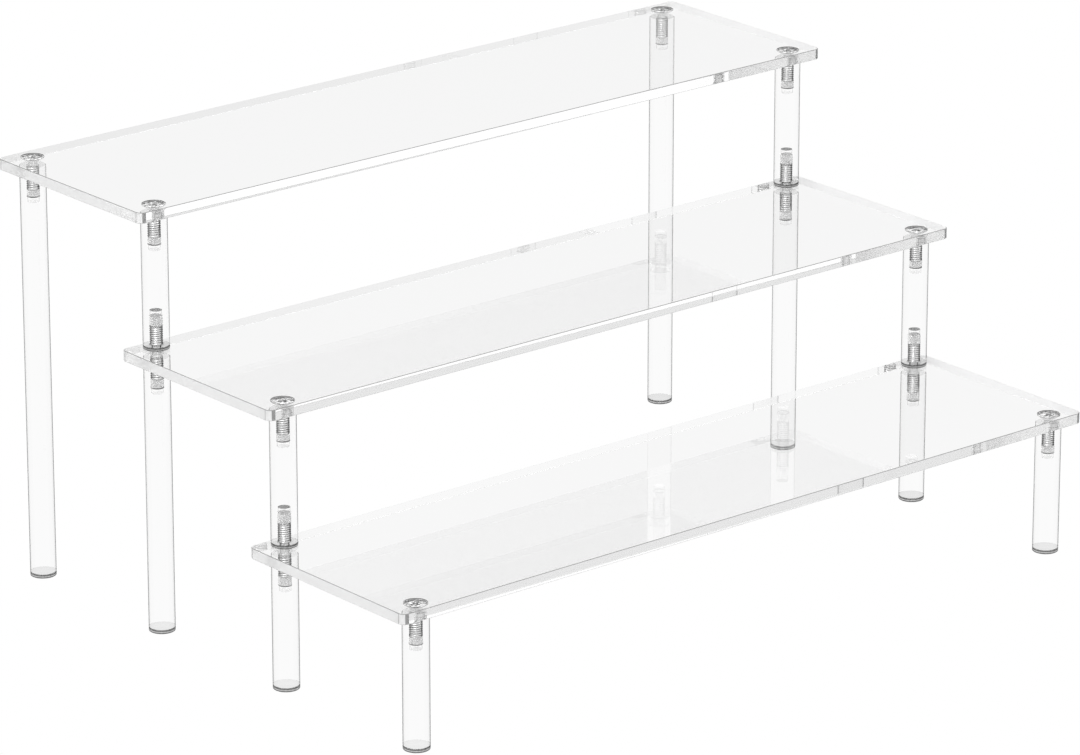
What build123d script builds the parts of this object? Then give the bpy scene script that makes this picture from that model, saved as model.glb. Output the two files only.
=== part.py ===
from build123d import *

import math
import os

# Tiered shelf riser: three clear shelves, each set one step down and one step forward from the
# one behind it, on round rods that are screwed to the shelves through their corners.
# Millimetres. +X along the shelves, +Y towards the back, +Z up; the origin is on the floor,
# under the middle of the whole riser.

# Driving dimensions: the shelves
SHELF_LENGTH = 400.0
SHELF_DEPTH = 107.2
SHELF_THICKNESS = 5.0
SHELF_CORNER_RADIUS = 3.2
SHELF_EDGE_CHAMFER = 0.25
SHELF_END_MARGIN = 13.5  # from a shelf's short ends to the axes of its corner holes
SHELF_SIDE_MARGIN = 8.3  # from its long edges to the same axes
OVERALL_HEIGHT = 200.0
SHELVES = ["top", "middle", "bottom"]

# The rods and what stands under them
ROD_RADIUS = 6.0
ROD_CHAMFER = 0.3
FOOT_PAD_THICKNESS = 1.8
FOOT_PAD_CHAMFER = 0.3
WASHER_THICKNESS = 1.6

# The threads: rings of one pitch, at heights that are whole pitches above the floor,
# so that each screw or stud lies in the grooves of the rod that holds it
THREAD_PITCH = 1.0
THREAD_RADIUS = 2.85
THREAD_DEPTH = 0.3
THREAD_CLEARANCE = 0.1
THREAD_TIP = 0.4  # height of the tapered end of a screw or stud
NECK_RADIUS = 2.05  # of the plain waist of a screw or stud, where it passes through a shelf
NECK_SHOULDER = 0.4  # height of the taper between the thread and the neck
CLEARANCE_HOLE_RADIUS = 3.1  # through the shelves and the washers

# The blind holes in the ends of the rods
ROD_HOLE_DEPTH = 16.0
ROD_TAPPED_DEPTH = 13.5
ROD_DRILL_RADIUS = 2.65
ROD_HOLE_MOUTH = 0.3  # bevel round the mouth

# The countersunk screws, their heads sunk just below the shelf's upper face
SCREW_LENGTH = 14.8
SCREW_HEAD_RADIUS = 5.1
SCREW_HEAD_RIM = 0.25  # straight edge above the 90 degree cone
SCREW_HEAD_RECESS = 0.4
HEAD_CLEARANCE = 0.25  # between a head's edge and the wall round it
CROSS_SPAN = 5.4
CROSS_WIDTH = 1.3
CROSS_DEPTH = 2.0
CROSS_TAPER = 12.0

# The headless studs that join two rods through a shelf
STUD_BELOW_SHELF = 9.3
STUD_ABOVE_SHELF = 10.7

# Worked out from the driving dimensions
ROW_SPACING = SHELF_DEPTH - 2 * SHELF_SIDE_MARGIN
TIER_RISE = OVERALL_HEIGHT / len(SHELVES)
SIDE_X = {
    "left": SHELF_END_MARGIN - SHELF_LENGTH / 2,
    "right": SHELF_LENGTH / 2 - SHELF_END_MARGIN,
}
ROW_NAMES = ["rear", "inner_rear", "inner_front", "front"]
ROW_Y = [ROW_SPACING * step for step in (1.5, 0.5, -0.5, -1.5)]
LAST_ROW = len(ROW_NAMES) - 1


def shelf_top(tier):
    """Height of a shelf's upper face; tier 0 is the highest shelf."""
    return OVERALL_HEIGHT - tier * TIER_RISE


def shelf_underside(tier):
    return shelf_top(tier) - SHELF_THICKNESS


def save(builder, name):
    """Label a finished piece and write it as a node of its own."""
    builder.part.label = name
    export_step(builder.part, f"parts/{name}.step")


def section_plane(x, y):
    """Upright plane through an axis at x, y: sketch points on it are (radius, height)."""
    return Plane(origin=(x, y, 0), x_dir=(1, 0, 0), z_dir=(0, -1, 0))


def upright_axis(x, y):
    return Axis((x, y, 0), (0, 0, 1))


def thread_rings(low, high, crest_radius):
    """Outline of a ringed wall from low to high, with a crest at every whole pitch."""
    half_pitch = THREAD_PITCH / 2
    first = math.floor(low / half_pitch) + 1
    last = math.ceil(high / half_pitch)
    heights = [low] + [step * half_pitch for step in range(first, last)] + [high]
    outline = []
    for height in heights:
        from_crest = abs((height / THREAD_PITCH + 0.5) % 1 - 0.5) * 2
        outline.append((crest_radius - THREAD_DEPTH * from_crest, height))
    return outline


def bore_outline(mouth, direction):
    """Half section of a tapped blind hole; direction is -1 down from a rod's top, +1 up."""
    groove_radius = THREAD_RADIUS + THREAD_CLEARANCE
    tapped_end = mouth + direction * ROD_TAPPED_DEPTH
    thread_start = mouth + direction * ROD_HOLE_MOUTH
    hole_end = mouth + direction * ROD_HOLE_DEPTH
    rings = thread_rings(min(thread_start, tapped_end), max(thread_start, tapped_end), groove_radius)
    if direction < 0:
        rings.reverse()
    mouth_points = [(0, mouth), (groove_radius + ROD_HOLE_MOUTH, mouth)]
    drill_points = [(ROD_DRILL_RADIUS, tapped_end), (ROD_DRILL_RADIUS, hole_end), (0, hole_end)]
    return mouth_points + rings + drill_points


# ---- Shelves: clear sheet with rounded corners and a hole near each corner ----

def has_post_above(tier, row):
    """A shelf carries the next shelf up on the posts over its rear holes."""
    return tier > 0 and row == tier


def make_shelf(tier):
    rows = [tier, tier + 1]
    centre_y = (ROW_Y[rows[0]] + ROW_Y[rows[1]]) / 2
    screwed = [row for row in rows if not has_post_above(tier, row)]
    studded = [row for row in rows if has_post_above(tier, row)]
    pocket_radius = SCREW_HEAD_RADIUS + HEAD_CLEARANCE
    with BuildPart() as shelf:
        with BuildSketch(Plane.XY.offset(shelf_underside(tier))):
            with Locations((0, centre_y)):
                RectangleRounded(SHELF_LENGTH, SHELF_DEPTH, SHELF_CORNER_RADIUS)
        extrude(amount=SHELF_THICKNESS)
        rims = shelf.edges().group_by(Axis.Z)
        chamfer(rims[0] + rims[-1], SHELF_EDGE_CHAMFER)
        pocket_floor = shelf_top(tier) - SCREW_HEAD_RECESS
        with Locations(*[(x, ROW_Y[row], shelf_top(tier)) for x in SIDE_X.values() for row in screwed]):
            Hole(pocket_radius, depth=SCREW_HEAD_RECESS)
        with Locations(*[(x, ROW_Y[row], pocket_floor) for x in SIDE_X.values() for row in screwed]):
            CounterSinkHole(CLEARANCE_HOLE_RADIUS, pocket_radius, counter_sink_angle=90)
        if studded:
            with Locations(*[(x, ROW_Y[row], shelf_top(tier)) for x in SIDE_X.values() for row in studded]):
                Hole(CLEARANCE_HOLE_RADIUS)
    save(shelf, f"shelf_{SHELVES[tier]}")


# ---- Rods: floor legs are tapped at the top only, posts between shelves at both ends ----

def make_rod(name, x, y, bottom, top, tapped_bottom):
    with BuildPart() as rod:
        with BuildSketch(Plane.XY.offset(bottom)):
            with Locations((x, y)):
                Circle(ROD_RADIUS)
        extrude(amount=top - bottom)
        chamfer(rod.edges().filter_by(GeomType.CIRCLE), ROD_CHAMFER)
        bores = [bore_outline(top, -1)]
        if tapped_bottom:
            bores.append(bore_outline(bottom, 1))
        for outline in bores:
            with BuildSketch(section_plane(x, y)):
                with BuildLine():
                    Polyline(*outline, close=True)
                make_face()
            revolve(axis=upright_axis(x, y), mode=Mode.SUBTRACT)
    save(rod, name)


# ---- Screws and studs ----

def make_screw(name, x, y, tier):
    """Countersunk screw with a cross recess in its flat head and a plain neck under it."""
    head_top = shelf_top(tier) - SCREW_HEAD_RECESS
    cone_end = head_top - SCREW_HEAD_RIM - (SCREW_HEAD_RADIUS - NECK_RADIUS)
    neck_end = shelf_underside(tier)
    tip = head_top - SCREW_LENGTH
    outline = [(0, tip), (THREAD_RADIUS - 2 * THREAD_DEPTH, tip)]
    outline += thread_rings(tip + THREAD_TIP, neck_end - NECK_SHOULDER, THREAD_RADIUS)
    outline += [
        (NECK_RADIUS, neck_end),
        (NECK_RADIUS, cone_end),
        (SCREW_HEAD_RADIUS, head_top - SCREW_HEAD_RIM),
        (SCREW_HEAD_RADIUS, head_top),
        (0, head_top),
    ]
    with BuildPart() as screw:
        with BuildSketch(section_plane(x, y)):
            with BuildLine():
                Polyline(*outline, close=True)
            make_face()
        revolve(axis=upright_axis(x, y))
        with BuildSketch(Plane.XY.offset(head_top)):
            with Locations((x, y)):
                Rectangle(CROSS_SPAN, CROSS_WIDTH)
                Rectangle(CROSS_WIDTH, CROSS_SPAN)
        extrude(amount=-CROSS_DEPTH, taper=CROSS_TAPER, mode=Mode.SUBTRACT)
    save(screw, name)


def make_stud(name, x, y, tier):
    """Stud with a thread at both ends and a plain neck between them."""
    bottom = shelf_underside(tier) - STUD_BELOW_SHELF
    top = shelf_top(tier) + STUD_ABOVE_SHELF
    neck_bottom = shelf_underside(tier)
    neck_top = shelf_top(tier) + WASHER_THICKNESS
    end_radius = THREAD_RADIUS - 2 * THREAD_DEPTH
    outline = [(0, bottom), (end_radius, bottom)]
    outline += thread_rings(bottom + THREAD_TIP, neck_bottom - NECK_SHOULDER, THREAD_RADIUS)
    outline += [(NECK_RADIUS, neck_bottom), (NECK_RADIUS, neck_top)]
    outline += thread_rings(neck_top + NECK_SHOULDER, top - THREAD_TIP, THREAD_RADIUS)
    outline += [(end_radius, top), (0, top)]
    with BuildPart() as stud:
        with BuildSketch(section_plane(x, y)):
            with BuildLine():
                Polyline(*outline, close=True)
            make_face()
        revolve(axis=upright_axis(x, y))
    save(stud, name)


# ---- Soft rings and discs ----

def make_washer(name, x, y, bottom):
    """Ring between a shelf and the post that stands on it."""
    with BuildPart() as washer:
        with BuildSketch(Plane.XY.offset(bottom)):
            with Locations((x, y)):
                Circle(ROD_RADIUS)
                Circle(CLEARANCE_HOLE_RADIUS, mode=Mode.SUBTRACT)
        extrude(amount=WASHER_THICKNESS)
    save(washer, name)


def make_foot_pad(name, x, y):
    """Anti-slip disc stuck under a leg."""
    with BuildPart() as pad:
        with BuildSketch(Plane.XY):
            with Locations((x, y)):
                Circle(ROD_RADIUS)
        extrude(amount=FOOT_PAD_THICKNESS)
        chamfer(pad.edges().group_by(Axis.Z)[0], FOOT_PAD_CHAMFER)
    save(pad, name)


# ---- The assembly ----

for tier in range(len(SHELVES)):
    make_shelf(tier)

for side, x in SIDE_X.items():
    # One leg in every row, from its foot pad to the lowest shelf over that row.
    for row, row_name in enumerate(ROW_NAMES):
        y = ROW_Y[row]
        tier_above = min(row, len(SHELVES) - 1)
        make_rod(f"leg_{row_name}_{side}", x, y, FOOT_PAD_THICKNESS, shelf_underside(tier_above), False)
        make_foot_pad(f"foot_pad_{row_name}_{side}", x, y)

    # The two inner rows go on past a shelf: washer and post above it, stud through it.
    for tier in range(1, len(SHELVES)):
        y = ROW_Y[tier]
        shelf_name = SHELVES[tier]
        deck = shelf_top(tier)
        post_foot = deck + WASHER_THICKNESS
        make_washer(f"washer_{shelf_name}_{side}", x, y, deck)
        make_rod(f"post_{shelf_name}_{side}", x, y, post_foot, shelf_underside(tier - 1), True)
        make_stud(f"stud_{shelf_name}_{side}", x, y, tier)

    # A screw through every shelf hole that has no post over it.
    make_screw(f"screw_top_rear_{side}", x, ROW_Y[0], 0)
    for tier, shelf_name in enumerate(SHELVES):
        make_screw(f"screw_{shelf_name}_front_{side}", x, ROW_Y[tier + 1], tier)
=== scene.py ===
import math

import bmesh
import bpy
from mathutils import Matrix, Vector
from mathutils.geometry import tessellate_polygon


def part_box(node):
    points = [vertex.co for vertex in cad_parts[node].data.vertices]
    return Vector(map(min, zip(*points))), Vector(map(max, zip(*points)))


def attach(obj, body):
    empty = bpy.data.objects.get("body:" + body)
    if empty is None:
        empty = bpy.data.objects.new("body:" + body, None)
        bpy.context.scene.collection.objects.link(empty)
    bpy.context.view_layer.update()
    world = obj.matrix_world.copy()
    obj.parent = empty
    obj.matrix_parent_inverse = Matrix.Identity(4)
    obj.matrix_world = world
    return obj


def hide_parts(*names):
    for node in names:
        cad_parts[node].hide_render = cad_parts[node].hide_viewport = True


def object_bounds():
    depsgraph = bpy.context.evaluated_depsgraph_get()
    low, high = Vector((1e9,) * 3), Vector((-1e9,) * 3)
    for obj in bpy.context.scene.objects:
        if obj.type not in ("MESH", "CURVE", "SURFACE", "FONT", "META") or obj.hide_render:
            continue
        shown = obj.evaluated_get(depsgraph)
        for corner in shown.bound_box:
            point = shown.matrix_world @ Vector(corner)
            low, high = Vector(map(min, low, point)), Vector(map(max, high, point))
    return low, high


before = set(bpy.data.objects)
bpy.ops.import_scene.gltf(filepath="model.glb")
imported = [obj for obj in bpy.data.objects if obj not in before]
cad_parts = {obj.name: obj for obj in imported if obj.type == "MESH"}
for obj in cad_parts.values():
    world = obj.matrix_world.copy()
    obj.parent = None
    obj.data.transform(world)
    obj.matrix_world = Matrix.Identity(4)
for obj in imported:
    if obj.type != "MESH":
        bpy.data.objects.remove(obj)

cad_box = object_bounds()
shelf_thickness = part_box("shelf_top")[1].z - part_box("shelf_top")[0].z

# ---------------------------------------------------------------------------------------
# Sizes, in metres. Places come from the frame's boxes; these are the details that a box
# doesn't tell, and they repeat the CAD model's own dimensions.
# ---------------------------------------------------------------------------------------
MM = 0.001
AROUND = 80  # segments round every turned piece
AIR_FILM = 0.03 * MM  # two touching pieces of clear plastic keep a film of air between them

SHELVES = ["top", "middle", "bottom"]
SIDES = ["left", "right"]
ROWS = ["rear", "inner_rear", "inner_front", "front"]

SHELF_CORNER_RADIUS = 3.2 * MM
SHELF_EDGE_BEVEL = 0.25 * MM
SHELF_CORNER_STEPS = 20
HEAD_POCKET_RADIUS = 5.35 * MM
HEAD_POCKET_DEPTH = 0.4 * MM
CLEARANCE_HOLE_RADIUS = 3.1 * MM
HOLE_EDGE_BREAK = 0.1 * MM

ROD_BEVEL = 0.3 * MM
ROD_HOLE_DEPTH = 16.0 * MM
ROD_TAPPED_DEPTH = 13.5 * MM
ROD_DRILL_RADIUS = 2.65 * MM
ROD_HOLE_MOUTH = 0.3 * MM

THREAD_PITCH = 1.0 * MM
THREAD_RADIUS = 2.85 * MM
THREAD_DEPTH = 0.3 * MM
THREAD_CLEARANCE = 0.1 * MM
THREAD_RUNOUT = 0.5 * MM
THREAD_TIP = 0.4 * MM
ROWS_PER_PITCH = 8
NECK_RADIUS = 2.05 * MM
NECK_SHOULDER = 0.4 * MM

SCREW_HEAD_RADIUS = 5.1 * MM
SCREW_HEAD_RIM = 0.25 * MM
SCREW_RIM_ROUND = 0.12 * MM
RIM_ROUND_MIDDLE = 0.3  # how much of its radius a quarter round lacks at 45 degrees
CROSS_HALF_SPAN = 2.7 * MM
CROSS_HALF_WIDTH = 0.65 * MM
CROSS_DEPTH = 2.0 * MM
CROSS_FLOOR_SCALE = 0.55
CROSS_ARM_CORNER = 0.93  # where an arm's outer corners are, as a share of its length to the point

SOFT_EDGE = 0.35 * MM
# Painted light on a disc's side, from its lower edge (0) to its upper one (1): painted shade at both
# edges and a painted highlight line across the middle
PAD_PAINTED_LIGHT = [(0, 0.12), (0.4, 0.2), (0.5, 0.8), (0.6, 0.2), (1, 0.12)]
WASHER_PAINTED_LIGHT = [(0, 0.08), (0.3, 0.13), (0.5, 0.42), (0.7, 0.13), (1, 0.08)]


# ---------------------------------------------------------------------------------------
# Mesh helpers
# ---------------------------------------------------------------------------------------
def new_piece(name, bm, x, y, sharp_degrees):
    """A mesh object from bm, smooth except along edges sharper than sharp_degrees."""
    bmesh.ops.recalc_face_normals(bm, faces=bm.faces)
    mesh = bpy.data.meshes.new(name)
    bm.to_mesh(mesh)
    bm.free()
    mesh.shade_smooth()
    mesh.set_sharp_from_angle(angle=math.radians(sharp_degrees))
    piece = bpy.data.objects.new(name, mesh)
    piece.location = (x, y, 0)
    bpy.context.scene.collection.objects.link(piece)
    return piece


def ring_direction(step):
    """The unit vector from a turned piece's axis to a step round it."""
    angle = 2 * math.pi * step / AROUND
    return math.cos(angle), math.sin(angle)


def thread_cut(height, step):
    """How deep a right-handed thread is cut here: 0 on its crest, 1 in its root."""
    turn = height / THREAD_PITCH - step / AROUND
    return 0.5 - 0.5 * math.cos(2 * math.pi * turn)


def lathe(bm, rows, material_at=None):
    """Rings about the Z axis from (radius, height, share of thread depth) rows.
    Radius 0 makes a pole. material_at gives a band's material from its two rows.
    Returns the rings, so that a face can be added at an open end."""
    rings = []
    for radius, height, thread in rows:
        if radius == 0:
            rings.append([bm.verts.new((0, 0, height))])
            continue
        ring = []
        for step in range(AROUND):
            c, s = ring_direction(step)
            r = radius - thread * THREAD_DEPTH * thread_cut(height, step)
            ring.append(bm.verts.new((r * c, r * s, height)))
        rings.append(ring)
    for band, (a, b) in enumerate(zip(rings, rings[1:])):
        material = material_at(rows[band], rows[band + 1]) if material_at else 0
        for step in range(AROUND):
            following = (step + 1) % AROUND
            if len(a) == 1:
                corners = (a[0], b[step], b[following])
            elif len(b) == 1:
                corners = (a[step], a[following], b[0])
            else:
                corners = (a[step], a[following], b[following], b[step])
            bm.faces.new(corners).material_index = material
    return rings


def rounded(radius_from, radius_to, height_from, height_to, turn_in, steps=4):
    """Rows of a quarter round between two rings; turn_in says which way it bulges."""
    rows = []
    for i in range(steps + 1):
        a = math.pi / 2 * i / steps
        if turn_in:
            u, v = math.sin(a), 1 - math.cos(a)
        else:
            u, v = 1 - math.cos(a), math.sin(a)
        radius = radius_from + (radius_to - radius_from) * u
        height = height_from + (height_to - height_from) * v
        rows.append((radius, height, 0))
    return rows


def thread_rows(low, high, radius):
    """Rows of a thread between two heights that fades out over THREAD_RUNOUT at both ends."""
    count = max(2, math.ceil((high - low) / THREAD_PITCH * ROWS_PER_PITCH))
    rows = []
    for i in range(count + 1):
        height = low + (high - low) * i / count
        from_end = min(height - low, high - height)
        rows.append((radius, height, min(1, from_end / THREAD_RUNOUT)))
    return rows


def fill_between(bm, outer, holes, flip):
    """Flat faces between an outer loop of vertices and the hole loops inside it."""
    loops = [outer] + holes
    flat = [v for loop in loops for v in loop]
    for triangle in tessellate_polygon([[v.co for v in loop] for loop in loops]):
        corners = [flat[i] for i in triangle]
        if flip:
            corners.reverse()
        bm.faces.new(corners)


def bridge(bm, a, b, material=0):
    """Quads between two closed loops of the same number of vertices."""
    for i in range(len(a)):
        j = (i + 1) % len(a)
        bm.faces.new((a[i], a[j], b[j], b[i])).material_index = material


def axis_of(node):
    """Where an upright node's axis stands."""
    low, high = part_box(node)
    return (low.x + high.x) / 2, (low.y + high.y) / 2


def finish_piece(piece, node, slot, *materials):
    """Gives the piece its materials and puts it in the CAD node's place."""
    for material in materials:
        piece.data.materials.append(material)
    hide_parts(node)
    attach(piece, "root")


# ---------------------------------------------------------------------------------------
# Materials
# ---------------------------------------------------------------------------------------
ACRYLIC_INDEX = 1.49
SILICONE_INDEX = 1.41
TINT_GREY = 0.9  # the absorption's colour: a metre takes away 1 - TINT_GREY of its density
PAINTED_RIM_SHADE_FACING = (0.58, 0.82)  # how far a bar's side faces away where its painted dark rim starts and ends


def neutral(level):
    """A colour without hue."""
    return level, level, level, 1


def new_material(name):
    """A material with its node tree's nodes and links, and its shader."""
    material = bpy.data.materials.new(name)
    material.use_nodes = True
    nodes = material.node_tree.nodes
    return material, nodes, material.node_tree.links, nodes["Principled BSDF"]


def noise(nodes, links, scale, detail):
    """Noise in the piece's own coordinates; scale is in cells per metre."""
    coordinates = nodes.new("ShaderNodeTexCoord")
    texture = nodes.new("ShaderNodeTexNoise")
    texture.inputs["Scale"].default_value = scale
    texture.inputs["Detail"].default_value = detail
    links.new(coordinates.outputs["Object"], texture.inputs["Vector"])
    return texture.outputs["Fac"]


def remap(nodes, links, value, low, high, from_low=0.3, from_high=0.7):
    """low to high as value goes from from_low to from_high, which suit noise if not given."""
    node = nodes.new("ShaderNodeMapRange")
    node.inputs["From Min"].default_value = from_low
    node.inputs["From Max"].default_value = from_high
    node.inputs["To Min"].default_value = low
    node.inputs["To Max"].default_value = high
    links.new(value, node.inputs["Value"])
    return node.outputs["Result"]


def math_node(nodes, links, operation, a, b):
    """a and b, each a number or a socket, put through one operation."""
    node = nodes.new("ShaderNodeMath")
    node.operation = operation
    for socket, value in zip(node.inputs, (a, b)):
        if isinstance(value, (int, float)):
            socket.default_value = value
        else:
            links.new(value, socket)
    return node.outputs["Value"]


def mix_values(nodes, links, share, a, b):
    """a where share is 0, b where it is 1."""
    node = nodes.new("ShaderNodeMix")
    for name, value in (("Factor", share), ("A", a), ("B", b)):
        if isinstance(value, (int, float)):
            node.inputs[name].default_value = value
        else:
            links.new(value, node.inputs[name])
    return node.outputs["Result"]


def graph(nodes, links, value, points):
    """A line through (value, result) points, for values from -1 to 1."""
    ramp = nodes.new("ShaderNodeValToRGB")
    elements = ramp.color_ramp.elements
    while len(elements) < len(points):
        elements.new(0.5)
    for element, (at, result) in zip(elements, points):
        element.position = (at + 1) / 2
        element.color = neutral(result)
    links.new(remap(nodes, links, value, 0, 1, -1, 1), ramp.inputs["Fac"])
    return ramp.outputs["Color"]


def bump(nodes, links, height, distance, strength):
    """The normal of a surface that height raises by up to distance."""
    node = nodes.new("ShaderNodeBump")
    node.inputs["Strength"].default_value = strength
    node.inputs["Distance"].default_value = distance
    links.new(height, node.inputs["Height"])
    return node.outputs["Normal"]


def clear_acrylic(name, depth_tint, bend, gloss=None, rim=None):
    """Polished clear acrylic; depth_tint is how much light a metre of it takes away.
    With a gloss, the outside mirrors as that index does, while bend alone turns the view.
    rim is a painted shade on a round bar's own outline: how much light the outline lets through."""
    material, nodes, links, shader = new_material(name)
    shader.inputs["Base Color"].default_value = neutral(1)
    shader.inputs["IOR"].default_value = bend
    shader.inputs["Transmission Weight"].default_value = 1.0
    shader.inputs["Roughness"].default_value = 0.0
    if gloss:
        inside = nodes.new("ShaderNodeNewGeometry").outputs["Backfacing"]
        links.new(math_node(nodes, links, "SUBTRACT", 1, inside), shader.inputs["Coat Weight"])
        shader.inputs["Coat IOR"].default_value = gloss
        shader.inputs["Coat Roughness"].default_value = 0.0
    if rim:
        # painted shade: the colour darkens towards the bar's outline
        facing = nodes.new("ShaderNodeLayerWeight").outputs["Facing"]
        links.new(remap(nodes, links, facing, 1, rim, *PAINTED_RIM_SHADE_FACING), shader.inputs["Base Color"])
    absorption = nodes.new("ShaderNodeVolumeAbsorption")
    absorption.inputs["Color"].default_value = neutral(TINT_GREY)
    absorption.inputs["Density"].default_value = depth_tint / (1 - TINT_GREY)
    links.new(absorption.outputs["Volume"], nodes["Material Output"].inputs["Volume"])
    return material


def satin_acrylic(name, grey, clearness, marks_scale, smoothest, roughest):
    """Acrylic as a saw, drill or tap leaves it: hazy, with its marks in the gloss."""
    material, nodes, links, shader = new_material(name)
    marks = noise(nodes, links, marks_scale, detail=3)
    shader.inputs["Base Color"].default_value = neutral(grey)
    shader.inputs["IOR"].default_value = ACRYLIC_INDEX
    shader.inputs["Transmission Weight"].default_value = clearness
    links.new(remap(nodes, links, marks, smoothest, roughest), shader.inputs["Roughness"])
    return material


def seen_inside(nodes, links, outside, inside):
    """Gives the surface one shader from outside and another to rays within the solid."""
    mix = nodes.new("ShaderNodeMixShader")
    links.new(nodes.new("ShaderNodeNewGeometry").outputs["Backfacing"], mix.inputs["Fac"])
    links.new(outside, mix.inputs[1])
    links.new(inside, mix.inputs[2])
    links.new(mix.outputs["Shader"], nodes["Material Output"].inputs["Surface"])


def worked_acrylic(name, grey, clearness, inside_grey):
    """A sawn end, a scraped bevel or a rough hole end: satin outside, and to the light within
    the plastic a haze as light as inside_grey."""
    material = satin_acrylic(name, grey, clearness, marks_scale=1200, smoothest=0.3, roughest=0.5)
    nodes, links = material.node_tree.nodes, material.node_tree.links
    haze = nodes.new("ShaderNodeBsdfDiffuse")
    haze.inputs["Color"].default_value = neutral(inside_grey)
    seen_inside(nodes, links, nodes["Principled BSDF"].outputs["BSDF"], haze.outputs["BSDF"])
    return material


def bored_wall():
    """The wall of a shelf's hole: it hazes what is in the hole and mirrors half the light."""
    material, nodes, links, shader = new_material("bored_wall")
    clear = nodes.new("ShaderNodeBsdfTransparent")
    mirror = nodes.new("ShaderNodeBsdfAnisotropic")
    mirror.inputs["Color"].default_value = neutral(0.97)
    mirror.inputs["Roughness"].default_value = 0.6
    mix = nodes.new("ShaderNodeMixShader")
    mix.inputs["Fac"].default_value = 0.5
    links.new(clear.outputs["BSDF"], mix.inputs[1])
    links.new(mirror.outputs["BSDF"], mix.inputs[2])
    nodes.remove(shader)
    links.new(mix.outputs["Shader"], nodes["Material Output"].inputs["Surface"])
    return material


def wetted_contact():
    """Where a thread or a disc presses on the plastic there is no air left to mirror."""
    material, nodes, links, shader = new_material("wetted_contact")
    contact = nodes.new("ShaderNodeBsdfTransparent")
    contact.inputs["Color"].default_value = neutral(0.97)
    nodes.remove(shader)
    links.new(contact.outputs["BSDF"], nodes["Material Output"].inputs["Surface"])
    return material


def threaded_steel():
    """Nickel plating with painted shade: it goes dark where its small steep flanks turn away."""
    material, nodes, links, shader = new_material("nickel_plated_thread_painted_shade")
    shader.inputs["Metallic"].default_value = 1.0
    shader.inputs["Roughness"].default_value = 0.32
    # painted shade: the colour darkens where the surface faces away
    facing = nodes.new("ShaderNodeLayerWeight").outputs["Facing"]
    share = remap(nodes, links, facing, 0, 1, from_low=0.2, from_high=0.5)
    links.new(mix_values(nodes, links, share, a=0.80, b=0.14), shader.inputs["Base Color"])
    return material


def plated_steel():
    """Bright nickel plating with small dull patches, as on the top of a screw head."""
    material, nodes, links, shader = new_material("nickel_plated_steel")
    shader.inputs["Metallic"].default_value = 1.0
    shader.inputs["Specular Tint"].default_value = neutral(0.4)
    patches = noise(nodes, links, scale=900, detail=4)
    share = remap(nodes, links, patches, 0, 1, from_low=0.4, from_high=0.6)
    links.new(mix_values(nodes, links, share, a=0.30, b=0.95), shader.inputs["Base Color"])
    links.new(remap(nodes, links, patches, low=0.25, high=0.45), shader.inputs["Roughness"])
    marks = noise(nodes, links, scale=2200, detail=3)
    relief = bump(nodes, links, marks, distance=0.04 * MM, strength=0.6)
    links.new(relief, shader.inputs["Normal"])
    return material


def silicone(name, painted_light):
    """The side of a clear silicone disc, with painted shade at its edges and a painted highlight
    line across its middle, as the second argument gives them from its lower edge to its upper one.
    From inside it doesn't show."""
    material, nodes, links, shader = new_material(name)
    split = nodes.new("ShaderNodeSeparateXYZ")
    links.new(nodes.new("ShaderNodeTexCoord").outputs["Generated"], split.inputs["Vector"])
    # painted light: shade at the edges and a highlight line, set by height up the side
    level = graph(nodes, links, split.outputs["Z"], painted_light)
    mottle = noise(nodes, links, scale=900, detail=3)
    unevenness = remap(nodes, links, mottle, low=0.8, high=1.2)
    tint = math_node(nodes, links, "MULTIPLY", level, unevenness)
    links.new(tint, shader.inputs["Base Color"])
    links.new(remap(nodes, links, mottle, low=0.15, high=0.4), shader.inputs["Roughness"])
    shader.inputs["IOR"].default_value = SILICONE_INDEX
    grain = noise(nodes, links, scale=5000, detail=2)
    relief = bump(nodes, links, grain, distance=0.02 * MM, strength=0.4)
    links.new(relief, shader.inputs["Normal"])
    clear = nodes.new("ShaderNodeBsdfTransparent")
    seen_inside(nodes, links, shader.outputs["BSDF"], clear.outputs["BSDF"])
    return material


SHEET_FACE = clear_acrylic("clear_acrylic_sheet_face", depth_tint=0.42, bend=1.035, gloss=2.2)
SHEET_EDGE = clear_acrylic("clear_acrylic_sheet_edge", depth_tint=0.42, bend=1.41)
# the bars have a painted dark rim along their outline
BAR_ACRYLIC = clear_acrylic("clear_acrylic_bar_painted_rim_shade", depth_tint=3.0, bend=1.035, gloss=1.42, rim=0.2)
# painted shade: nearly black, for the wall of a head's pocket and the last ring of a tapped hole
SHADED_BORE_ACRYLIC = satin_acrylic(
    "bored_acrylic_painted_shade", grey=0.10, clearness=0.3, marks_scale=1500, smoothest=0.2, roughest=0.4
)
SEAT_ACRYLIC = satin_acrylic(
    "seat_acrylic", grey=0.62, clearness=0.4, marks_scale=2000, smoothest=0.2, roughest=0.4
)
DRILLED_ACRYLIC = satin_acrylic(
    "drilled_acrylic", grey=0.85, clearness=0.8, marks_scale=2000, smoothest=0.1, roughest=0.3
)
TAPPED_ACRYLIC = satin_acrylic(
    "tapped_acrylic", grey=0.62, clearness=0.35, marks_scale=6000, smoothest=0.3, roughest=0.4
)
# painted shade: the end of a hole drilled from below is painted dark, the end of one from above is
# not
SHADED_HOLE_END = worked_acrylic("hole_end_painted_shade", grey=0.10, clearness=0.3, inside_grey=0.28)
SAWN_ACRYLIC = worked_acrylic("sawn_acrylic", grey=0.79, clearness=0.5, inside_grey=0.97)
# painted shade: dark lines on the bevels, darker on the upper bevel than on the lower
SHADED_UPPER_BEVEL = worked_acrylic("scraped_upper_bevel_painted_shade", grey=0.26, clearness=0.3, inside_grey=0.92)
SHADED_LOWER_BEVEL = worked_acrylic("scraped_lower_bevel_painted_shade", grey=0.45, clearness=0.4, inside_grey=0.95)
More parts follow.
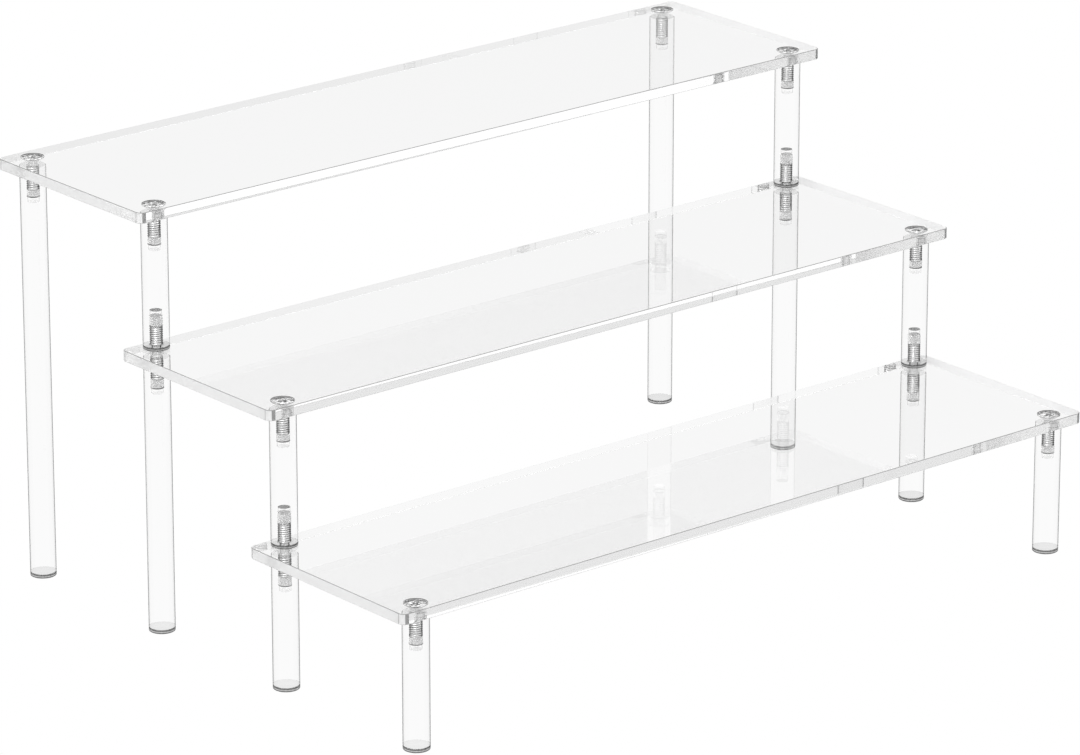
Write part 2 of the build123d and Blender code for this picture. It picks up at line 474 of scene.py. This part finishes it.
# dark grey strips on the rounded corners and beside each flat end
DARK_CORNER_STRIP = worked_acrylic("dark_corner_strip", grey=0.22, clearness=0.25, inside_grey=0.9)
HOLE_WALL = bored_wall()
WETTED_CONTACT = wetted_contact()
PLATED_STEEL = plated_steel()
SHADED_THREAD_STEEL = threaded_steel()
# the discs' sides carry painted shade and a painted highlight line
PAD_SILICONE = silicone("silicone_pad_side_painted_light", PAD_PAINTED_LIGHT)
WASHER_SILICONE = silicone("silicone_washer_side_painted_light", WASHER_PAINTED_LIGHT)


# ---------------------------------------------------------------------------------------
# Shelves
# ---------------------------------------------------------------------------------------
# A shelf's materials: its faces have the first, and the others' places have names
SHELF_MATERIALS = [
    SHEET_FACE, SHEET_EDGE, SAWN_ACRYLIC, SHADED_UPPER_BEVEL, SHADED_LOWER_BEVEL,
    DARK_CORNER_STRIP, SHADED_BORE_ACRYLIC, SEAT_ACRYLIC, HOLE_WALL,
]
EDGE, END, UPPER, LOWER, DARK_STRIP, BORED, SEAT, WALL = range(1, 9)
# How squarely a part of the outline faces along the shelf: 1 on its ends, 0 on its long edges
FLAT_END = 0.9999
END_LINE = 0.998
SAWN_CORNER = 0.53
DARK_STRIP_LEAST = 0.01


def rounded_outline(low, high, inset):
    """Points round a rectangle with rounded corners, inset from its edges."""
    radius = SHELF_CORNER_RADIUS - inset
    centres = [
        (high.x - SHELF_CORNER_RADIUS, high.y - SHELF_CORNER_RADIUS),
        (low.x + SHELF_CORNER_RADIUS, high.y - SHELF_CORNER_RADIUS),
        (low.x + SHELF_CORNER_RADIUS, low.y + SHELF_CORNER_RADIUS),
        (high.x - SHELF_CORNER_RADIUS, low.y + SHELF_CORNER_RADIUS),
    ]
    points = []
    for corner, (x, y) in enumerate(centres):
        for step in range(SHELF_CORNER_STEPS + 1):
            angle = math.pi / 2 * (corner + step / SHELF_CORNER_STEPS)
            points.append((x + radius * math.cos(angle), y + radius * math.sin(angle)))
    return points


def level_loop(bm, points, height):
    """A loop of vertices through (x, y) points at one height."""
    return [bm.verts.new((x, y, height)) for x, y in points]


def circle_points(x, y, radius):
    """Points round a circle, one for each step of a turned piece."""
    directions = [ring_direction(step) for step in range(AROUND)]
    return [(x + radius * c, y + radius * s) for c, s in directions]


def mark_ends(bm):
    """Gives the sawn ends and the dark grey strips on the corners of a shelf's edge their own
    materials.
    """
    for face in bm.faces:
        if face.material_index != EDGE:
            continue
        face.normal_update()
        towards_end = abs(face.normal.x)
        if towards_end > FLAT_END or END_LINE > towards_end > SAWN_CORNER:
            face.material_index = END
        elif towards_end > DARK_STRIP_LEAST:
            face.material_index = DARK_STRIP


def shelf_hole(top, bottom, studded):
    """The (radius, height) of a hole's rings from the top down, and the walls between them."""
    if studded:
        sizes = [
            (CLEARANCE_HOLE_RADIUS + HOLE_EDGE_BREAK, top),
            (CLEARANCE_HOLE_RADIUS, top - HOLE_EDGE_BREAK),
        ]
        # the hole's upper edge break takes the upper bevel's painted shade
        walls = [UPPER]
    else:
        seat = top - HEAD_POCKET_DEPTH
        cone_end = seat - (HEAD_POCKET_RADIUS - CLEARANCE_HOLE_RADIUS)
        sizes = [
            (HEAD_POCKET_RADIUS, top),
            (HEAD_POCKET_RADIUS, seat),
            (CLEARANCE_HOLE_RADIUS, cone_end),
        ]
        # the pocket wall takes the nearly black painted shade
        walls = [BORED, SEAT]
    sizes += [
        (CLEARANCE_HOLE_RADIUS, bottom + HOLE_EDGE_BREAK),
        (CLEARANCE_HOLE_RADIUS + HOLE_EDGE_BREAK, bottom),
    ]
    return sizes, walls + [WALL, SEAT]


def make_shelf(tier):
    """A clear sheet with bevelled edges: its rear holes take studs, or screws at the top tier."""
    node = f"shelf_{SHELVES[tier]}"
    low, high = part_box(node)
    top, bottom = high.z, low.z
    bm = bmesh.new()
    levels = [
        (SHELF_EDGE_BEVEL, top),
        (0, top - SHELF_EDGE_BEVEL),
        (0, bottom + SHELF_EDGE_BEVEL),
        (SHELF_EDGE_BEVEL, bottom),
    ]
    rims = [level_loop(bm, rounded_outline(low, high, inset), height) for inset, height in levels]
    for a, b, material in zip(rims, rims[1:], (UPPER, EDGE, LOWER)):
        bridge(bm, a, b, material)
    mark_ends(bm)
    top_holes, bottom_holes = [], []
    for row in (tier, tier + 1):
        sizes, walls = shelf_hole(top, bottom, studded=tier > 0 and row == tier)
        for side in SIDES:
            x, y = axis_of(f"leg_{ROWS[row]}_{side}")
            loops = [level_loop(bm, circle_points(x, y, radius), height) for radius, height in sizes]
            for a, b, material in zip(loops, loops[1:], walls):
                bridge(bm, a, b, material)
            top_holes.append(loops[0])
            bottom_holes.append(loops[-1])
    fill_between(bm, rims[0], top_holes, flip=False)
    fill_between(bm, rims[-1], bottom_holes, flip=True)
    piece = new_piece(f"clear_{node}", bm, 0, 0, sharp_degrees=30)
    finish_piece(piece, node, "clear_shelf", *SHELF_MATERIALS)


# ---------------------------------------------------------------------------------------
# Rods: legs and posts
# ---------------------------------------------------------------------------------------
# A rod's materials, and the names of their places
ROD_MATERIALS = [
    BAR_ACRYLIC, TAPPED_ACRYLIC, DRILLED_ACRYLIC, SHADED_BORE_ACRYLIC, WETTED_CONTACT, SHADED_HOLE_END,
]
CLEAR, TAPPED, DRILLED, LAST_THREAD, WETTED, DARK_END = range(6)
LAST_RING = 0.5 * MM  # how much of a top hole's thread, at its end, is painted dark as shade
ROD_BORE_LIMIT = 4.0 * MM  # every wall of a hole lies inside this radius


def bore_rows(mouth, direction):
    """A tapped blind hole from its end to its mouth; direction is -1 down from a rod's top."""
    groove = THREAD_RADIUS + THREAD_CLEARANCE
    end = mouth + direction * ROD_HOLE_DEPTH
    tapped_end = mouth + direction * ROD_TAPPED_DEPTH
    start = mouth + direction * ROD_HOLE_MOUTH
    threads = thread_rows(min(start, tapped_end), max(start, tapped_end), groove)
    if direction > 0:
        threads.reverse()
    rows = [(0, end, 0), (ROD_DRILL_RADIUS, end, 0), (ROD_DRILL_RADIUS, tapped_end, 0)]
    return rows + threads + [(groove + ROD_HOLE_MOUTH, mouth, 0)]


def make_rod(node, screw_above, screw_below=None):
    """A leg, with a tapped hole in its top, or a post, with one more for the screw below."""
    low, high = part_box(node)
    radius = (high.x - low.x) / 2
    top, bottom = high.z - AIR_FILM, low.z + AIR_FILM
    if screw_below:
        rows = bore_rows(bottom, 1)
    else:
        rows = [(0, bottom, 0)]
    rows += [
        (radius - ROD_BEVEL, bottom, 0),
        (radius, bottom + ROD_BEVEL, 0),
        (radius, top - ROD_BEVEL, 0),
        (radius - ROD_BEVEL, top, 0),
    ]
    rows += reversed(bore_rows(top, -1))
    tapped_end = top - ROD_TAPPED_DEPTH
    screw_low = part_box(screw_above)[0].z
    screw_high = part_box(screw_below)[1].z if screw_below else bottom

    def material_at(a, b):
        (radius_a, height_a, _), (radius_b, height_b, _) = a, b
        if max(radius_a, radius_b) > ROD_BORE_LIMIT:
            return CLEAR
        # a top hole's end is frosted white; a lower hole's end gets painted shade
        if radius_a == 0 or radius_b == 0:
            return DRILLED if height_a > (top + bottom) / 2 else DARK_END
        if min(height_a, height_b) > screw_low or max(height_a, height_b) < screw_high:
            return WETTED
        if max(radius_a, radius_b) == ROD_DRILL_RADIUS:
            return CLEAR
        from_end = abs((height_a + height_b) / 2 - tapped_end)
        return LAST_THREAD if from_end < LAST_RING else TAPPED

    bm = bmesh.new()
    lathe(bm, rows, material_at)
    x, y = axis_of(node)
    piece = new_piece(f"clear_{node}", bm, x, y, sharp_degrees=40)
    finish_piece(piece, node, "clear_rod", *ROD_MATERIALS)


# ---------------------------------------------------------------------------------------
# Screws and studs
# ---------------------------------------------------------------------------------------
THREADED = 1  # the place of a screw's second material, on all but the top of its head


def cross_loop(bm, scale, height):
    """The outline of a cross recess at one height, with a blunt point at the end of each arm."""
    span, width = CROSS_HALF_SPAN * scale, CROSS_HALF_WIDTH * scale
    corner = span * CROSS_ARM_CORNER
    arm = [(width, width), (corner, width), (span, 0), (corner, -width)]
    points = []
    for c, s in [(1, 0), (0, -1), (-1, 0), (0, 1)]:
        points += [(x * c - y * s, x * s + y * c) for x, y in arm]
    return level_loop(bm, points, height)


def make_screw(node):
    """A countersunk screw with a cross recess, a plain neck and a thread."""
    low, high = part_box(node)
    top, tip = high.z, low.z
    x, y = axis_of(node)
    seat = SCREW_HEAD_RADIUS - AIR_FILM
    cone_end = top - SCREW_HEAD_RIM - (seat - NECK_RADIUS)
    neck_end = top + HEAD_POCKET_DEPTH - shelf_thickness
    bm = bmesh.new()
    rows = [(0, tip, 0), (THREAD_RADIUS - 2 * THREAD_DEPTH, tip, 0)]
    rows += thread_rows(tip + THREAD_TIP, neck_end - NECK_SHOULDER, THREAD_RADIUS)
    rows += [
        (NECK_RADIUS, neck_end, 0),
        (NECK_RADIUS, cone_end, 0),
        (seat, top - SCREW_HEAD_RIM, 0),
        (seat, top - SCREW_RIM_ROUND, 0),
        (seat - SCREW_RIM_ROUND * RIM_ROUND_MIDDLE, top - SCREW_RIM_ROUND * RIM_ROUND_MIDDLE, 0),
        (seat - SCREW_RIM_ROUND, top, 0),
    ]
    rim = lathe(bm, rows, lambda a, b: THREADED)[-1]
    mouth = cross_loop(bm, 1, top)
    floor = cross_loop(bm, CROSS_FLOOR_SCALE, top - CROSS_DEPTH)
    fill_between(bm, rim, [mouth], flip=False)
    bridge(bm, mouth, floor)
    fill_between(bm, floor, [], flip=False)
    piece = new_piece(f"steel_{node}", bm, x, y, sharp_degrees=35)
    finish_piece(piece, node, "screw_metal", PLATED_STEEL, SHADED_THREAD_STEEL)


def make_stud(node, shelf, washer):
    """A headless stud, threaded at both ends, with a plain neck in the shelf and the washer."""
    low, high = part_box(node)
    x, y = axis_of(node)
    neck_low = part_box(shelf)[0].z
    neck_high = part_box(washer)[1].z
    end_radius = THREAD_RADIUS - 2 * THREAD_DEPTH
    rows = [(0, low.z, 0), (end_radius, low.z, 0)]
    rows += thread_rows(low.z + THREAD_TIP, neck_low - NECK_SHOULDER, THREAD_RADIUS)
    rows += [(NECK_RADIUS, neck_low, 0), (NECK_RADIUS, neck_high, 0)]
    rows += thread_rows(neck_high + NECK_SHOULDER, high.z - THREAD_TIP, THREAD_RADIUS)
    rows += [(end_radius, high.z, 0), (0, high.z, 0)]
    bm = bmesh.new()
    lathe(bm, rows)
    piece = new_piece(f"steel_{node}", bm, x, y, sharp_degrees=35)
    finish_piece(piece, node, "screw_metal", SHADED_THREAD_STEEL)


# ---------------------------------------------------------------------------------------
# Washers and foot pads
# ---------------------------------------------------------------------------------------
SIDE, CONTACT = range(2)  # places in a disc's materials: its side, and what touches others


def disc_material(a, b):
    """A disc's flat faces and its hole are in contact with other pieces."""
    (radius_a, height_a, _), (radius_b, height_b, _) = a, b
    flat = height_a == height_b
    in_hole = radius_a == radius_b == CLEARANCE_HOLE_RADIUS
    return CONTACT if flat or in_hole else SIDE


def disc_side(radius, bottom, top):
    """Rows up the side of a disc with soft edges."""
    inner = radius - SOFT_EDGE
    lower = rounded(inner, radius, bottom, bottom + SOFT_EDGE, turn_in=True)
    upper = rounded(radius, inner, top - SOFT_EDGE, top, turn_in=False)
    return lower + upper


def make_washer(node):
    """A soft ring between a shelf and the post on it."""
    low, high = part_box(node)
    bottom, top = low.z + AIR_FILM, high.z - AIR_FILM
    rows = [(CLEARANCE_HOLE_RADIUS, top, 0), (CLEARANCE_HOLE_RADIUS, bottom, 0)]
    rows += disc_side((high.x - low.x) / 2, bottom, top)
    bm = bmesh.new()
    rings = lathe(bm, rows, disc_material)
    bridge(bm, rings[-1], rings[0], CONTACT)
    x, y = axis_of(node)
    piece = new_piece(f"soft_{node}", bm, x, y, sharp_degrees=40)
    finish_piece(piece, node, "washer", WASHER_SILICONE, WETTED_CONTACT)


def make_foot_pad(node):
    """A soft disc under a leg."""
    low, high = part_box(node)
    bottom, top = low.z, high.z - AIR_FILM
    rows = [(0, bottom, 0)]
    rows += disc_side((high.x - low.x) / 2, bottom, top)
    rows += [(0, top, 0)]
    bm = bmesh.new()
    lathe(bm, rows, disc_material)
    x, y = axis_of(node)
    piece = new_piece(f"soft_{node}", bm, x, y, sharp_degrees=40)
    finish_piece(piece, node, "foot_pad", PAD_SILICONE, WETTED_CONTACT)


# What is screwed into the top of each leg and post
LEG_FASTENERS = {
    "rear": "screw_top_rear_{}",
    "inner_rear": "stud_middle_{}",
    "inner_front": "stud_bottom_{}",
    "front": "screw_bottom_front_{}",
}
POST_FASTENERS = {"middle": "screw_top_front_{}", "bottom": "screw_middle_front_{}"}

for tier in range(len(SHELVES)):
    make_shelf(tier)
for side in SIDES:
    for row in ROWS:
        make_rod(f"leg_{row}_{side}", LEG_FASTENERS[row].format(side))
        make_foot_pad(f"foot_pad_{row}_{side}")
    for shelf in SHELVES[1:]:
        make_rod(f"post_{shelf}_{side}", POST_FASTENERS[shelf].format(side), f"stud_{shelf}_{side}")
        make_stud(f"stud_{shelf}_{side}", f"shelf_{shelf}", f"washer_{shelf}_{side}")
        make_washer(f"washer_{shelf}_{side}")
    make_screw(f"screw_top_rear_{side}")
    for shelf in SHELVES:
        make_screw(f"screw_{shelf}_front_{side}")


# ---------------------------------------------------------------------------------------
# Stage: a white floor, soft light and the camera
# ---------------------------------------------------------------------------------------
FLOOR_HALF_SIZE = 12.0
FLOOR_GAP = 0.02 * MM  # keeps the floor clear of the feet
CAMERA_AZIMUTH = math.radians(-39.98)
CAMERA_ELEVATION = math.radians(18.98)
CAMERA_DISTANCE = 2.958
CAMERA_LENS = 216.8
CAMERA_SENSOR = 36.0
CAMERA_SHIFT = (-0.00628, -0.01962)
FLAG_AZIMUTH = math.radians(87)
# How bright the room is: below the horizon from away from the camera (-1) to behind it (1),
# and above the horizon from there (0) to straight up (1)
ROOM_BELOW = [(-1, 0.12), (-0.6, 0.12), (-0.2, 0.5), (0.2, 0.5), (0.5, 0.95)]
ROOM_ABOVE = [(0, 0.76), (0.4, 0.76), (0.6, 0.94), (1, 1.0)]
GUIDED = 4  # after this many mirrorings, light has been led along inside a shelf
LONG_GUIDED = 12  # and after this many, it makes no difference where it comes from
LIGHT_BOUNCES = 44  # enough for light guided along a whole shelf


def towards(nodes, links, direction, azimuth):
    """How far a direction points towards a side of the room: 1 straight at it, -1 away."""
    node = nodes.new("ShaderNodeVectorMath")
    node.operation = "DOT_PRODUCT"
    node.inputs[1].default_value = (math.sin(azimuth), -math.cos(azimuth), 0)
    links.new(direction, node.inputs[0])
    return node.outputs["Value"]


def make_floor():
    """A white floor. What the plastic's shine shows under the horizon is the room's instead."""
    bm = bmesh.new()
    corners = [(-1, -1), (1, -1), (1, 1), (-1, 1)]
    bm.faces.new([bm.verts.new((x * FLOOR_HALF_SIZE, y * FLOOR_HALF_SIZE, 0)) for x, y in corners])
    mesh = bpy.data.meshes.new("studio_floor")
    bm.to_mesh(mesh)
    bm.free()
    floor = bpy.data.objects.new("studio_floor", mesh)
    bpy.context.scene.collection.objects.link(floor)
    material = bpy.data.materials.new("white_floor")
    material.use_nodes = True
    nodes, links = material.node_tree.nodes, material.node_tree.links
    nodes.clear()
    glow = nodes.new("ShaderNodeEmission")
    clear = nodes.new("ShaderNodeBsdfTransparent")
    mix = nodes.new("ShaderNodeMixShader")
    output = nodes.new("ShaderNodeOutputMaterial")
    bounces = nodes.new("ShaderNodeLightPath").outputs["Glossy Depth"]
    links.new(math_node(nodes, links, "LESS_THAN", bounces, 0.5), mix.inputs["Fac"])
    links.new(clear.outputs["BSDF"], mix.inputs[1])
    links.new(glow.outputs["Emission"], mix.inputs[2])
    links.new(mix.outputs["Shader"], output.inputs["Surface"])
    mesh.materials.append(material)
    floor.location.z = -FLOOR_GAP


def make_world():
    """White all round, except in the shine of surfaces, which shows a room: bright above and
    behind the camera, dim at the sides and dark low down at the back, with a black flag on
    the right. Light guided inside the plastic comes in dimmer from below and brighter from
    above, until it has been mirrored so often that both are alike."""
    world = bpy.data.worlds.new("studio")
    bpy.context.scene.world = world
    world.use_nodes = True
    nodes, links = world.node_tree.nodes, world.node_tree.links
    nodes.clear()
    direction = nodes.new("ShaderNodeTexCoord").outputs["Generated"]
    split = nodes.new("ShaderNodeSeparateXYZ")
    links.new(direction, split.inputs["Vector"])
    height = split.outputs["Z"]
    is_up = remap(nodes, links, height, 0, 1, from_low=-0.02, from_high=0.02)
    key = towards(nodes, links, direction, CAMERA_AZIMUTH)
    below = graph(nodes, links, key, ROOM_BELOW)
    above = graph(nodes, links, height, ROOM_ABOVE)
    flag = towards(nodes, links, direction, FLAG_AZIMUTH)
    shade = remap(nodes, links, flag, low=1, high=0.08, from_low=0.8, from_high=0.87)
    flagged = math_node(nodes, links, "MULTIPLY", above, shade)
    paths = nodes.new("ShaderNodeLightPath").outputs
    mirrored = paths["Glossy Depth"]

    def from_mirroring(least, before, after):
        share = math_node(nodes, links, "GREATER_THAN", mirrored, least - 0.5)
        return mix_values(nodes, links, share, before, after)

    floor = from_mirroring(GUIDED, before=1.02, after=0.84)
    low = mix_values(nodes, links, paths["Is Reflection Ray"], floor, below)
    high = from_mirroring(GUIDED, before=flagged, after=1.12)
    room = mix_values(nodes, links, is_up, low, high)
    value = from_mirroring(1, before=1.0, after=room)
    value = from_mirroring(LONG_GUIDED, before=value, after=1.05)
    scattered = math_node(nodes, links, "GREATER_THAN", paths["Diffuse Depth"], 0.5)
    value = mix_values(nodes, links, scattered, value, 1.0)
    background = nodes.new("ShaderNodeBackground")
    output = nodes.new("ShaderNodeOutputWorld")
    links.new(value, background.inputs["Color"])
    links.new(background.outputs["Background"], output.inputs["Surface"])


def make_softbox(name, location, size, watts):
    """A soft rectangular lamp that points at the origin."""
    light = bpy.data.lights.new(name, "AREA")
    light.shape = "RECTANGLE"
    light.size, light.size_y = size
    light.energy = watts
    lamp = bpy.data.objects.new(name, light)
    lamp.location = location
    lamp.rotation_mode = "QUATERNION"
    lamp.rotation_quaternion = (-Vector(location)).to_track_quat("-Z", "Y")
    bpy.context.scene.collection.objects.link(lamp)


def make_camera():
    """A long lens that looks at the middle of the riser."""
    data = bpy.data.cameras.new("camera")
    data.lens = CAMERA_LENS
    data.sensor_width = CAMERA_SENSOR
    data.shift_x, data.shift_y = CAMERA_SHIFT
    camera = bpy.data.objects.new("camera", data)
    bpy.context.scene.collection.objects.link(camera)
    back = Vector((
        math.sin(CAMERA_AZIMUTH) * math.cos(CAMERA_ELEVATION),
        -math.cos(CAMERA_AZIMUTH) * math.cos(CAMERA_ELEVATION),
        math.sin(CAMERA_ELEVATION),
    ))
    middle = Vector((0, 0, cad_box[1].z / 2))
    camera.location = middle + back * CAMERA_DISTANCE
    camera.rotation_mode = "QUATERNION"
    camera.rotation_quaternion = (-back).to_track_quat("-Z", "Y")
    bpy.context.scene.camera = camera


make_floor()
make_world()
make_softbox("softbox_left", location=(-1.6, -0.8, 1.8), size=(1.2, 1.2), watts=12)
make_softbox("softbox_back", location=(1.2, 1.8, 1.6), size=(1.6, 0.8), watts=10)
make_camera()

scene = bpy.context.scene
scene.view_settings.view_transform = "Standard"
scene.cycles.max_bounces = LIGHT_BOUNCES
scene.cycles.transmission_bounces = LIGHT_BOUNCES
scene.cycles.glossy_bounces = LIGHT_BOUNCES
scene.cycles.caustics_refractive = True
scene.cycles.blur_glossy = 0.0  # light that a hazed surface scatters still gets out of the plastic
